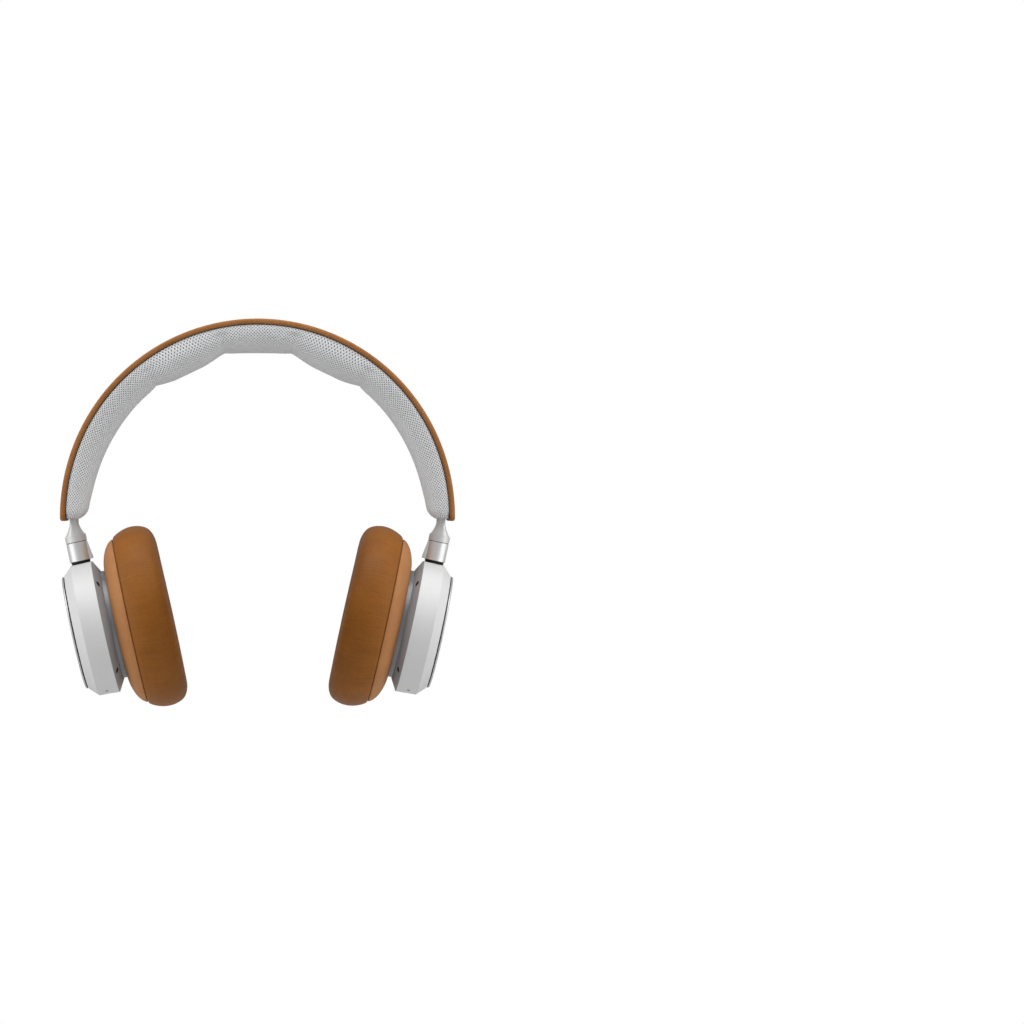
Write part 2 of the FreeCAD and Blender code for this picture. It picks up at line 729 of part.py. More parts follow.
def make_cups():
    for side in ("left", "right"):
        keep_side(side, "outer_shell", outer_shell(side))
        for name, (degrees, length) in BUTTONS[side].items():
            keep_side(side, name, button(degrees, length))
    keep_pair("touch_plate", touch_plate())
    keep_pair("rear_cover", rear_cover())
    keep_pair("baffle", baffle())
    keep_pair("cover_screws", cover_screws())
    for name, shape in driver_pieces().items():
        keep_pair(name, shape)
    keep_pair("circuit_board", circuit_board())
    keep_pair("pad_carrier", pad_carrier())
    keep_pair("ear_mesh", oval_rod(-14.2, -13.8, EAR_HALF_H + 1.5, EAR_HALF_W + 1.5))
    keep_pair("ear_pad", ear_pad())
    keep_side("left", "jack_socket", jack_socket())
    keep_side("left", "battery", block((-0.5, 2.9), (-12, 12), (-9, 9)))
    keep_side("right", "usb_socket", usb_socket())
    keep_side("right", "touch_board", rod((8.05, 0, 0), (1, 0, 0), 21.6, 0.5))


def main():
    os.makedirs("parts", exist_ok=True)
    make_headband()
    make_arms()
    make_cups()
    for name, shape in parts.items():
        if not shape.isValid() or any(s.Volume <= 0 for s in shape.Solids):
            print("check", name, shape.isValid(), [round(s.Volume, 2) for s in shape.Solids])
        shape.exportStep("parts/" + name + ".step")
    print(len(parts), "parts")


main()
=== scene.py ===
"""The looks of the over-ear headphones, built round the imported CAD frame.

Lengths in this script are millimetres, and MM turns them into metres where a point is made. Only the
studio is set out in metres. The headband is drawn by radius and angle about the centre of its half circle.
The cup frame of a side has its origin in the middle of that cup, x away from the head and z up along the
swivel. Both come from the joints.
"""
import json
import math
import bmesh
import bpy
from mathutils import Matrix, Vector, noise

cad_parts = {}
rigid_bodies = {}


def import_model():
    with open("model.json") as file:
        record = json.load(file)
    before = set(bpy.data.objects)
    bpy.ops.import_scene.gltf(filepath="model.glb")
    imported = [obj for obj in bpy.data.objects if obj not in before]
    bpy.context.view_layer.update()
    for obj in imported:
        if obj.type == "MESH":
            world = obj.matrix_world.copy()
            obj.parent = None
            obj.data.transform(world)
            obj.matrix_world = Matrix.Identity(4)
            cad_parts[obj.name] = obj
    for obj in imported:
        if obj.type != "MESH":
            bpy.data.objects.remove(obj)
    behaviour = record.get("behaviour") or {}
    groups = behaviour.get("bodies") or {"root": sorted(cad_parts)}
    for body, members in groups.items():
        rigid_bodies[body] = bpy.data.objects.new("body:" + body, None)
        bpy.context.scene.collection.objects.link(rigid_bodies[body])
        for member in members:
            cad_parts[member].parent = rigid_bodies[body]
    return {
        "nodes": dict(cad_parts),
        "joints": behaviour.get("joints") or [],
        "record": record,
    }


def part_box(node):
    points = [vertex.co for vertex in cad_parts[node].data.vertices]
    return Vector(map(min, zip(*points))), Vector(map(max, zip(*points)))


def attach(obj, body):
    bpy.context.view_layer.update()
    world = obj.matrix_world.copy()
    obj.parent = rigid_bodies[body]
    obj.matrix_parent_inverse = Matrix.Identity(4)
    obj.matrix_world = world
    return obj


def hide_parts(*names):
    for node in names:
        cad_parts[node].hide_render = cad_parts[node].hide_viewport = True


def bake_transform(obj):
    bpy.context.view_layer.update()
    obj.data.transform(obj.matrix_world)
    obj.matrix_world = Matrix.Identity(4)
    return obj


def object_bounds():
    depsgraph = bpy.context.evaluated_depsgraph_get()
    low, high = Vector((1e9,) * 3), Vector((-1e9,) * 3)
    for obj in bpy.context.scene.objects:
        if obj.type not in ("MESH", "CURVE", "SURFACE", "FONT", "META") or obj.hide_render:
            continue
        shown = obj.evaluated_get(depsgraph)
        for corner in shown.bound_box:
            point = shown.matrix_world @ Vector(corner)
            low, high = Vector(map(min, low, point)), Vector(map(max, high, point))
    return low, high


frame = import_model()
cad_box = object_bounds()

MM = 0.001
SIDES = {"left": 1, "right": -1}
JOINT = {j["name"]: j for j in frame["joints"]}

# Headband
ARCH_Z = JOINT["left_arm_slide"]["pos_m"][2] / MM
BAND_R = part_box("headband_cover")[1].x / MM
CROWN_HALF_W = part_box("headband_cover")[1].y / MM
END_HALF_W = 12.5
COVER_T = 2.9
COVER_END_DEG = -1.2
CORE_TOP_R = BAND_R - COVER_T
CORE_IN_R = CORE_TOP_R - 1.2

# Cup, in the cup frame
PIN_Z = 29.0             # height of the tilt pin
SEAT_Z, LUG_Z = 33.0, 34.15    # the cup's top, and the foot of the barrel above it
EAR_HALF_H, EAR_HALF_W = 30.0, 22.0    # the pad's opening
OVAL = 0.88              # the ear pad's width for each millimetre of its height
ROUND_STEPS = 144


# ---------------------------------------------------------------- places

def arch(r, deg, y=0.0):
    """A point of the headband, from radius and angle about the centre of its half circle."""
    a = math.radians(deg)
    return Vector((r * math.cos(a), y, ARCH_Z + r * math.sin(a))) * MM


def cup_matrix(side):
    """Turns cup millimetres into the row frame. It is a mirror image on the right."""
    sign = SIDES[side]
    up = Vector(JOINT[side + "_cup_swivel"]["axis"]) * -sign
    back = Vector(JOINT[side + "_cup_tilt"]["axis"]) * sign
    out = back.cross(up) * sign
    origin = Vector(JOINT[side + "_cup_tilt"]["pos_m"]) - up * PIN_Z * MM
    return Matrix([[out[i] * MM, back[i] * MM, up[i] * MM, origin[i]] for i in range(3)] + [[0, 0, 0, 1]])


def half_width(x):
    """Half the headband's width at a place across it, in millimetres."""
    return CROWN_HALF_W - (CROWN_HALF_W - END_HALF_W) * (x / BAND_R) ** 2


def lerp(a, b, t):
    return a + (b - a) * t


# ---------------------------------------------------------------- meshes

def spline(points, per_span):
    """A smooth closed curve through points, with per_span steps between neighbours."""
    n = len(points)
    vectors = [Vector(p) for p in points]
    result = []
    for i in range(n):
        a, b, c, d = (vectors[(i + k) % n] for k in (-1, 0, 1, 2))
        for s in range(per_span):
            t = s / per_span
            result.append(
                0.5 * (2 * b + (c - a) * t + (2 * a - 5 * b + 4 * c - d) * t * t
                       + (3 * b - a - 3 * c + d) * t * t * t)
            )
    return result


def lengths(points, closed):
    """Distances along a row of points, in millimetres, starting at 0."""
    total = [0.0]
    loop = points + points[:1] if closed else points
    for a, b in zip(loop, loop[1:]):
        total.append(total[-1] + (b - a).length / MM)
    return total


def grid_piece(name, rows, wrap_rows=False, cap=False, u=None):
    """A mesh through rows of points, each a closed loop. Its UVs are millimetres across and along the rows.

    u gives the rows' own places for the UVs, one more than there are rows.
    """
    n, m = len(rows), len(rows[0])
    mesh = bpy.data.meshes.new(name)
    faces, loops_uv = [], []
    v = lengths(rows[n // 2], True)
    u = u or lengths([row[m // 2] for row in rows], wrap_rows)
    for i in range(n if wrap_rows else n - 1):
        for j in range(m):
            i2, j2 = (i + 1) % n, (j + 1) % m
            faces.append((i * m + j, i2 * m + j, i2 * m + j2, i * m + j2))
            loops_uv += [(u[i], v[j]), (u[i + 1], v[j]), (u[i + 1], v[j + 1]), (u[i], v[j + 1])]
    if cap:
        faces += [tuple(range(m)), tuple(reversed(range((n - 1) * m, n * m)))]
        loops_uv += [(u[0], 0.0)] * m + [(u[-1], 0.0)] * m
    mesh.from_pydata([p for row in rows for p in row], [], faces)
    layer = mesh.uv_layers.new(name="mm")
    for loop, pair in zip(layer.data, loops_uv):
        loop.uv = pair
    return finished(mesh, name)


def finished(mesh, name):
    """Turns the faces outwards, shades them smooth and links the object."""
    bm = bmesh.new()
    bm.from_mesh(mesh)
    bmesh.ops.recalc_face_normals(bm, faces=bm.faces)
    bm.to_mesh(mesh)
    bm.free()
    mesh.shade_smooth()
    piece = bpy.data.objects.new(name, mesh)
    bpy.context.scene.collection.objects.link(piece)
    return piece


def round_piece(name, side, profile):
    """An oval ring about the cup's axis. The profile is a closed loop of (x, half height, half width)."""
    place = cup_matrix(side)
    rows = []
    for k in range(ROUND_STEPS):
        a = 2 * math.pi * k / ROUND_STEPS
        rows.append([place @ Vector((x, w * math.sin(a), h * math.cos(a))) for x, h, w in profile])
    return grid_piece(name, rows, wrap_rows=True)


def subdivide(piece):
    smooth = piece.modifiers.new("smooth", "SUBSURF")
    smooth.levels = 1
    smooth.render_levels = 1


SIM_SCALE = 10           # the cloth solver is steadier on a form of half a metre than on one this small
SIM_FRAMES = 16


def puff(piece, sewn, pressure, cap):
    """Fills the piece as cloth under pressure. Sewn points stay, and no point moves further than cap."""
    mesh = piece.data
    rest = [v.co.copy() for v in mesh.vertices]
    group = piece.vertex_groups.new(name="sewn")
    group.add([i for i, p in enumerate(rest) if sewn(p)], 1.0, "REPLACE")
    mesh.transform(Matrix.Scale(SIM_SCALE, 4))
    cloth = piece.modifiers.new("cloth", "CLOTH")
    s = cloth.settings
    s.quality = 5
    s.mass = 0.3
    s.tension_stiffness = 12
    s.compression_stiffness = 12
    s.shear_stiffness = 6
    s.bending_stiffness = 0.4
    s.use_pressure = True
    s.uniform_pressure_force = pressure
    s.vertex_group_mass = "sewn"
    s.effector_weights.gravity = 0
    cloth.collision_settings.use_collision = False
    cloth.collision_settings.use_self_collision = False
    cloth.point_cache.frame_start = 1
    cloth.point_cache.frame_end = SIM_FRAMES
    scene = bpy.context.scene
    for step in range(1, SIM_FRAMES + 1):
        scene.frame_set(step)
    filled = piece.evaluated_get(bpy.context.evaluated_depsgraph_get()).data
    moved = [v.co / SIM_SCALE for v in filled.vertices]
    piece.modifiers.remove(cloth)
    scene.frame_set(1)
    for v, a, b in zip(mesh.vertices, rest, moved):
        move = b - a
        if move.length > cap * MM:
            move *= cap * MM / move.length
        v.co = a + move
    piece.vertex_groups.remove(group)
    mesh.update()


def ruffle(piece, height):
    """Moves each point along its normal by height(point), in millimetres."""
    mesh = piece.data
    normals = [v.normal.copy() for v in mesh.vertices]
    for v, n in zip(mesh.vertices, normals):
        v.co += n * height(v.co) * MM
    mesh.update()


# ---------------------------------------------------------------- materials

def colour(r, g, b):
    """A linear colour from 0 to 255 display values."""
    def linear(c):
        c /= 255
        return c / 12.92 if c <= 0.04045 else ((c + 0.055) / 1.055) ** 2.4
    return (linear(r), linear(g), linear(b), 1.0)


class Look:
    """A material under construction, with one Principled shader."""

    def __init__(self, name):
        self.material = bpy.data.materials.new(name)
        self.material.use_nodes = True
        self.tree = self.material.node_tree
        self.shader = self.tree.nodes["Principled BSDF"]

    def node(self, kind, sockets=None, **settings):
        made = self.tree.nodes.new(kind)
        for key, value in settings.items():
            setattr(made, key, value)
        for key, value in (sockets or {}).items():
            self.feed(made.inputs[key], value)
        return made

    def feed(self, socket, value):
        if isinstance(value, bpy.types.NodeSocket):
            self.tree.links.new(value, socket)
        else:
            socket.default_value = value

    def set(self, **values):
        for key, value in values.items():
            self.feed(self.shader.inputs[key.replace("_", " ")], value)

    def math(self, operation, a, b=0.0, c=0.0):
        return self.node("ShaderNodeMath", {0: a, 1: b, 2: c}, operation=operation).outputs[0]

    def place(self):
        return self.node("ShaderNodeTexCoord").outputs["Object"]

    def flat_place(self):
        """The millimetre UVs that grid_piece makes."""
        return self.node("ShaderNodeUVMap", uv_map="mm").outputs[0]

    def stretched(self, vector, scale):
        return self.node("ShaderNodeMapping", {"Vector": vector, "Scale": scale}).outputs[0]

    def noise(self, scale, detail=3.0, vector=None, roughness=0.55):
        sockets = {"Vector": vector or self.place(), "Scale": scale, "Detail": detail, "Roughness": roughness}
        return self.node("ShaderNodeTexNoise", sockets).outputs["Fac"]

    def blend(self, factor, a, b):
        mix = self.node("ShaderNodeMix", data_type="RGBA")
        self.feed(mix.inputs["Factor"], factor)
        self.feed(mix.inputs["A"], a)
        self.feed(mix.inputs["B"], b)
        return mix.outputs["Result"]

    def shade(self, base, factor):
        """The colour made lighter or darker by a factor."""
        return self.node("ShaderNodeVectorMath", {0: base, "Scale": factor}, operation="SCALE").outputs[0]

    def split(self, vector):
        return self.node("ShaderNodeSeparateXYZ", {0: vector}).outputs

    def vector(self, operation, a, b=(0, 0, 0), result=0):
        return self.node("ShaderNodeVectorMath", {0: a, 1: b}, operation=operation).outputs[result]

    def arch_radius(self):
        """Distance in millimetres from the headband's axis."""
        across, _, up = self.split(self.place())
        x = self.math("MULTIPLY", across, 1 / MM)
        z = self.math("MULTIPLY_ADD", up, 1 / MM, -ARCH_Z)
        return self.math("SQRT", self.math("ADD", self.math("MULTIPLY", x, x), self.math("MULTIPLY", z, z)))

    def faces_inwards(self):
        """How far the surface faces the headband's axis: 1 straight at it, 0 across and below 0 away."""
        normal = self.node("ShaderNodeTexCoord").outputs["Normal"]
        to_centre = self.vector("SUBTRACT", (0, 0, ARCH_Z * MM), self.place())
        to_axis = self.vector("NORMALIZE", self.vector("MULTIPLY", to_centre, (1, 0, 1)))
        return self.vector("DOT_PRODUCT", to_axis, normal, "Value")

    def between(self, value, low, high, to_low=0.0, to_high=1.0):
        sockets = {"Value": value, "From Min": low, "From Max": high, "To Min": to_low, "To Max": to_high}
        return self.node("ShaderNodeMapRange", sockets).outputs[0]

    def bump(self, height, depth, normal=None):
        """Raises the surface by height, whose full range is depth millimetres."""
        sockets = {"Height": height, "Distance": depth * MM, "Strength": 1.0}
        if normal is not None:
            sockets["Normal"] = normal
        return self.node("ShaderNodeBump", sockets).outputs[0]

    def soft_edges(self, radius):
        return self.node("ShaderNodeBevel", {"Radius": radius * MM}, samples=4).outputs[0]


STREAK_SCALE = (1.8, 0.06, 1)      # fine across the streaks and long along them
# Painted shade: the dark brown of the headband leather's bottom edge and underside, where it meets the knit
# pad
PLY_EDGE_SHADE = (80, 50, 28)


def leather(name, light, dark, streaks=0.0, grain=0.9, rough=0.5, gloss=0.25, plies_and_shade=None):
    """Tanned leather: a net of fine grain, cloudy colour and, where it is stretched, faint cross streaks. The
    streaks' colour, lighter on their crests and darker in their hollows, is partly the leather's own and
    partly painted shade and highlight.

    Grain is the size of its cells and streaks the depth of the streaks. The plies argument holds the radii
    where the bottom edge, painted dark as shade, and the under ply of the headband's leather end.
    """
    look = Look(name)
    sockets = {"Vector": look.place(), "Scale": 1 / MM / grain}
    cells = look.node("ShaderNodeTexVoronoi", sockets, feature="DISTANCE_TO_EDGE").outputs["Distance"]
    valleys = look.between(cells, 0.0, 0.28)
    pores = look.noise(2600, 2.0)
    clouds = look.noise(60, 4.0)
    worn = look.noise(14, 2.0)
    height = look.math("ADD", look.math("MULTIPLY", valleys, 0.7), look.math("MULTIPLY", pores, 0.5))
    normal = look.bump(height, 0.05)
    cloudy = look.between(clouds, 0.35, 0.65, 0.0, 0.6)
    tint = look.math("ADD", cloudy, look.between(worn, 0.3, 0.7, 0.0, 0.4))
    base = look.blend(tint, colour(*dark), colour(*light))
    if streaks:
        lines = look.noise(1.0, 2.0, look.stretched(look.flat_place(), STREAK_SCALE))
        normal = look.bump(lines, streaks, normal)
        # The streaks' colour follows their bump: partly the leather's own tone, partly painted shade in the
        # hollows and painted highlight on the crests
        base = look.shade(base, look.between(lines, 0.3, 0.7, 0.88, 1.08))
    if plies_and_shade:
        edge, under = plies_and_shade
        radius = look.arch_radius()
        base = look.shade(base, look.between(radius, under - 0.15, under + 0.15, 0.66, 1.0))
        # Painted shade along the leather's bottom edge and underside, next to the pad
        base = look.blend(look.between(radius, edge - 0.1, edge + 0.1), colour(*PLY_EDGE_SHADE), base)
    base = look.blend(look.between(valleys, 0.0, 0.6, 0.22, 0.0), base, colour(70, 40, 16))
    look.set(Base_Color=base, Normal=normal, Specular_IOR_Level=gloss)
    look.set(Roughness=look.between(clouds, 0.3, 0.7, rough - 0.07, rough + 0.08))
    return look.material


KNIT_PITCH = 1.6
KNIT_WOBBLE = 0.08       # how far the rows of holes stray, in millimetres
WEAVE_PITCH = 0.8


def knit(name):
    """Open knit: light yarn round staggered rows of small holes, which close on the underside. The side
    facing the headband's axis is painted darker as shade.
    """
    look = Look(name)
    uv = look.flat_place()
    wobble = look.noise(0.35, 2.0, uv)
    turn = 2 * math.pi / KNIT_PITCH
    u, v = (look.math("MULTIPLY_ADD", wobble, KNIT_WOBBLE, part) for part in list(look.split(uv))[:2])
    holes = look.math(
        "MULTIPLY",
        look.math("COSINE", look.math("MULTIPLY", u, turn)),
        look.math("COSINE", look.math("MULTIPLY", v, turn)),
    )
    twist = look.math("SINE", look.math("MULTIPLY", look.math("ADD", u, v), turn * 3))
    yarn = look.noise(4.0, 3.0, uv)
    inwards = look.faces_inwards()
    holes = look.math("MULTIPLY", holes, look.between(inwards, 0.35, 0.9, 1.0, 0.45))
    depth = look.between(holes, 0.1, 0.75, 1.0, 0.0)
    height = look.math("MULTIPLY_ADD", twist, 0.10, look.math("MULTIPLY_ADD", yarn, 0.15, depth))
    light = look.blend(look.between(yarn, 0.3, 0.7), colour(208, 209, 210), colour(228, 229, 230))
    base = look.blend(look.between(holes, 0.15, 0.75), light, colour(112, 113, 115))
    base = look.blend(look.between(look.noise(30, 3.0), 0.35, 0.7, 0.0, 0.10), base, colour(150, 150, 151))
    # Painted shade: darker where the surface faces the headband's axis, where less light falls
    base = look.shade(base, look.between(inwards, 0.2, 0.9, 1.0, 0.9))
    look.set(Base_Color=base, Normal=look.bump(height, 0.18), Roughness=0.9, Specular_IOR_Level=0.2)
    look.set(Sheen_Weight=0.25, Sheen_Roughness=0.5)
    return look.material


def cloth_mesh(name):
    """Black acoustic cloth: a plain weave with pin holes."""
    look = Look(name)
    turn = 2 * math.pi / WEAVE_PITCH
    across, along = list(look.split(look.flat_place()))[:2]
    warp = look.math("SINE", look.math("MULTIPLY", across, turn))
    weft = look.math("SINE", look.math("MULTIPLY", along, turn))
    weave = look.math("MULTIPLY", warp, weft)
    base = look.blend(look.between(weave, -0.4, 0.8), colour(34, 34, 36), colour(74, 74, 77))
    look.set(Base_Color=base, Normal=look.bump(weave, 0.12), Roughness=0.85, Sheen_Weight=0.2)
    return look.material


def greys(tone, spread, cool=0):
    """Two greys, darker and lighter than tone by spread. Cool takes from the red and adds to the blue."""
    return [colour(t - cool, t, t + cool) for t in (tone - spread, tone + spread)]


def blasted(name, tone, rough, metallic=0.6, cool=0):
    """Bead blasted, clear anodised aluminium with softened edges."""
    look = Look(name)
    grains = look.noise(5200, 2.0)
    patches = look.noise(24, 3.0)
    normal = look.bump(grains, 0.012, look.soft_edges(0.25))
    base = look.blend(look.between(patches, 0.3, 0.7), *greys(tone, 5, cool))
    look.set(Base_Color=base, Metallic=metallic, Normal=normal)
    look.set(Roughness=look.between(patches, 0.3, 0.7, rough - 0.03, rough + 0.04))
    return look.material


def brushed(name, tone, scale, rough=0.5, metallic=0.6):
    """Aluminium with fine lines along one direction, where scale is small."""
    look = Look(name)
    lines = look.noise(1.0, 4.0, look.stretched(look.place(), scale), 0.7)
    patches = look.noise(30, 2.0)
    normal = look.bump(lines, 0.012, look.soft_edges(0.2))
    dark, light = colour(tone - 10, tone - 10, tone - 11), colour(tone + 8, tone + 8, tone + 8)
    base = look.blend(look.between(lines, 0.3, 0.7), dark, light)
    look.set(Base_Color=base, Metallic=metallic, Normal=normal)
    look.set(Roughness=look.between(patches, 0.3, 0.7, rough - 0.03, rough + 0.05))
    return look.material


def spun(name, side, tone=205):
    """The outer plate: fine circular lines about the cup's axis."""
    look = Look(name)
    place = cup_matrix(side)
    axis = (place.to_3x3() @ Vector((1, 0, 0))).normalized()
    from_centre = look.vector("SUBTRACT", look.place(), place.translation)
    along = look.vector("DOT_PRODUCT", from_centre, axis, "Value")
    distance = look.vector("LENGTH", from_centre, result="Value")
    squares = [look.math("MULTIPLY", part, part) for part in (distance, along)]
    radius = look.math("SQRT", look.math("MAXIMUM", look.math("SUBTRACT", *squares), 0.0))
    sockets = {"W": radius, "Scale": 9000.0, "Detail": 3.0}
    rings = look.node("ShaderNodeTexNoise", sockets, noise_dimensions="1D").outputs["Fac"]
    lines = look.math("MULTIPLY", rings, look.between(radius, 0.5 * MM, 4 * MM))
    normal = look.bump(lines, 0.008, look.soft_edges(0.2))
    base = look.blend(look.between(rings, 0.3, 0.7), colour(*[tone - 8] * 3), colour(*[tone + 6] * 3))
    look.set(Base_Color=base, Metallic=0.9, Normal=normal)
    look.set(Roughness=look.between(rings, 0.3, 0.7, 0.32, 0.40))
    return look.material


def moulded(name, rgb, rough=0.5, texture=0.02, metallic=0.0):
    """Moulded plastic, rubber or plated metal with a fine texture."""
    look = Look(name)
    pits = look.noise(3000, 2.0)
    patches = look.noise(60, 2.0)
    dark = colour(*[c * 0.85 for c in rgb])
    look.set(Base_Color=look.blend(patches, dark, colour(*rgb)), Metallic=metallic)
    look.set(Normal=look.bump(pits, texture, look.soft_edges(0.15)))
    look.set(Roughness=look.between(pits, 0.3, 0.7, rough - 0.05, rough + 0.05))
    return look.material


def make_materials():
    fine = 12000.0
    return {
        "band_leather": leather(
            "band_leather", (172, 115, 62), (154, 99, 48), grain=1.1,
            plies_and_shade=(CORE_TOP_R + 0.15, CORE_TOP_R + 1.1)),
        "pad_leather": leather(
            "pad_leather", (153, 93, 26), (136, 80, 16), streaks=0.05, grain=0.8, gloss=0.22),
        "carrier_leather": leather(
            "carrier_leather", (188, 132, 82), (170, 113, 65), grain=0.8, rough=0.55),
        "knit": knit("knit"),
        "ear_cloth": cloth_mesh("ear_cloth"),
        "shell_aluminium": blasted("shell_aluminium", 216, 0.6, 0.2),
        # The rear cover: the shell's light grey aluminium, darker as painted shade on its bevel, which faces
        # back towards the pads, and cooler to cancel the leather's brown reflection
        "shaded_cover_aluminium": blasted("shaded_cover_aluminium", 178, 0.5, 0.3, 6),
        "button_aluminium": blasted("button_aluminium", 218, 0.45),
        "left_plate_aluminium": spun("left_plate_aluminium", "left"),
        "right_plate_aluminium": spun("right_plate_aluminium", "right"),
        "barrel_aluminium": brushed("barrel_aluminium", 230, (60, 60, fine), rough=0.42, metallic=0.8),
        "arm_aluminium": brushed("arm_aluminium", 218, (fine, fine, 120)),
        "black_plastic": moulded("black_plastic", (26, 26, 27), 0.55),
        "grey_plastic": moulded("grey_plastic", (150, 154, 159), 0.45, 0.01, 0.5),
        "jack_plastic": moulded("jack_plastic", (30, 30, 31), 0.4),
        "driver_plastic": moulded("driver_plastic", (32, 32, 34), 0.55),
        "cable_jacket": moulded("cable_jacket", (24, 24, 25), 0.6),
        "spring_steel": moulded("spring_steel", (120, 124, 132), 0.3, 0.005, 1.0),
        "bracket_steel": moulded("bracket_steel", (170, 170, 168), 0.35, 0.01, 1.0),
        "screw_steel": moulded("screw_steel", (165, 165, 166), 0.3, 0.005, 1.0),
        "magnet_steel": moulded("magnet_steel", (160, 160, 163), 0.25, 0.005, 1.0),
        "socket_steel": moulded("socket_steel", (190, 190, 190), 0.25, 0.005, 1.0),
        "coil_copper": moulded("coil_copper", (184, 110, 62), 0.3, 0.03, 1.0),
        "cone_film": moulded("cone_film", (196, 190, 168), 0.35, 0.01),
        "circuit_green": moulded("circuit_green", (26, 92, 60), 0.3, 0.01),
        "battery_foil": moulded("battery_foil", (190, 192, 196), 0.35, 0.02, 0.6),
        "boot_rubber": moulded("boot_rubber", (16, 16, 16), 0.65, 0.02),
        "thread": moulded("thread", (150, 98, 54), 0.7, 0.05),
    }


LOOKS = make_materials()

# Nodes whose look isn't named after their material slot. The rear cover's look is the shell's aluminium
# painted darker as shade, and cooler.
NODE_LOOKS = {
    side + "_" + name: look
    for side in SIDES
    for name, look in (("rear_cover", "shaded_cover_aluminium"), ("touch_plate", side + "_plate_aluminium"))
}


def dress(piece, look):
    piece.data.materials.clear()
    piece.data.materials.append(LOOKS[look])


def dress_frame():
    """Every CAD node that stays gets the look of its material slot."""
    slots = {p["node"]: p["material_slot"] for p in frame["record"]["subparts"]}
    for node, obj in frame["nodes"].items():
        look = LOOKS[NODE_LOOKS.get(node, slots[node])]
        for place in obj.material_slots:
            place.material = look
        if node.endswith("touch_plate"):
            # Even shading over the pole of the dome, where the CAD mesh has two corners in one place
            obj.modifiers.new("join", "WELD").merge_threshold = 0.02 * MM
            obj.modifiers.new("even", "WEIGHTED_NORMAL").weight = 50


# ---------------------------------------------------------------- headband

STITCH_IN = 2.9          # the stitch line's distance from the leather's edge
STITCH_PITCH = 3.1
STITCH_LEN, STITCH_R = 2.2, 0.24
STITCH_SINK = 0.30       # below the leather's outside, in the pressed groove
STITCH_SPAN_DEG = 176.0
STITCH_LEAN_DEG = 6      # the leather falls away by this much towards its edge


def cover_section(half_w, thin):
    """The leather strip's outline as (y, r): rolled edges and a pressed groove for each stitch line."""
    groove_y = half_w - STITCH_IN
    t = COVER_T * thin
    mid = CORE_TOP_R + COVER_T / 2
    top, low = mid + t / 2, mid - t / 2
    corner = min(1.0, t * 0.4)
    half = [
        (0, top),
        (groove_y * 0.5, top - 0.02),
        (groove_y * 0.85, top - 0.05),
        (groove_y - 0.75, top - 0.07),
        (groove_y - 0.35, top - 0.22 * thin),
        (groove_y, top - 0.30 * thin),
        (groove_y + 0.35, top - 0.22 * thin),
        (groove_y + 0.75, top - 0.08),
        (half_w - corner, top - 0.12),
        (half_w - corner * 0.42, top - 0.12 - corner * 0.12),
        (half_w - corner * 0.1, top - 0.12 - corner * 0.5),
        (half_w, top - 0.12 - corner),
        (half_w - 0.04, low + 1.42 * thin),
        (half_w - 0.26, low + 1.28 * thin),
        (half_w - 0.06, low + 1.12 * thin),
        (half_w - 0.08, low + 0.5 * thin),
        (half_w - 0.24, low + 0.15 * thin),
        (half_w - 0.6, low),
        (half_w * 0.85, low),
        (half_w * 0.5, low),
        (0, low),
    ]
    return half + [(-y, r) for y, r in reversed(half[1:-1])]


COVER_STEPS = 260
COVER_END_ROUND = 3.0
COVER_END_T, COVER_TAPER = 0.35, 1.2       # the share of its thickness left at an end, and the length
COVER_END_MARKS = (0.0, 0.12, 0.35, 0.7, 1.1, 1.6, 2.2, 3.0)
COVER_EVEN = 4.2         # where even steps take over from the marks


def headband_cover():
    """The leather strip, with rounded and thinned ends."""
    rows = []
    span = 180 - 2 * COVER_END_DEG
    reach = math.radians(span) * BAND_R
    along = list(COVER_END_MARKS)
    along += [lerp(COVER_EVEN, reach - COVER_EVEN, k / COVER_STEPS) for k in range(COVER_STEPS + 1)]
    along += [reach - s for s in reversed(COVER_END_MARKS)]
    for s in along:
        deg = COVER_END_DEG + math.degrees(s / BAND_R)
        d = min(s, reach - s)
        w = half_width(BAND_R * math.cos(math.radians(deg)))
        if d < COVER_END_ROUND:
            w -= COVER_END_ROUND - math.sqrt(COVER_END_ROUND ** 2 - (COVER_END_ROUND - d) ** 2)
        thin = 1.0
        if d <= COVER_TAPER:
            thin = COVER_END_T + (1 - COVER_END_T) * math.sqrt(1 - (1 - d / COVER_TAPER) ** 2)
        rows.append([arch(r, deg, y) for y, r in cover_section(w, thin)])
    piece = grid_piece("leather_cover", rows, cap=True)
    subdivide(piece)
    dress(piece, "band_leather")
    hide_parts("headband_cover")
    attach(piece, "headband")


def capsule(length, radius, segments=8):
    """Points and faces of a small rounded stitch that lies along Z."""
    rings = [(length / 2 - radius + radius * math.sin(a), radius * math.cos(a)) for a in (0.0, 0.6, 1.15)]
    rings = [(-z, r) for z, r in reversed(rings)] + rings
    points = [(0, 0, -length / 2)]
    for z, r in rings:
        turns = (2 * math.pi * k / segments for k in range(segments))
        points += [(r * math.cos(t), r * math.sin(t), z) for t in turns]
    points.append((0, 0, length / 2))
    last = len(points) - 1
    faces = []
    for k in range(segments):
        k2 = (k + 1) % segments
        faces += [(0, 1 + k2, 1 + k), (last, last - segments + k, last - segments + k2)]
        for i in range(len(rings) - 1):
            low, high = 1 + i * segments, 1 + (i + 1) * segments
            faces.append((low + k, low + k2, high + k2, high + k))
    return [Vector(p) * MM for p in points], faces


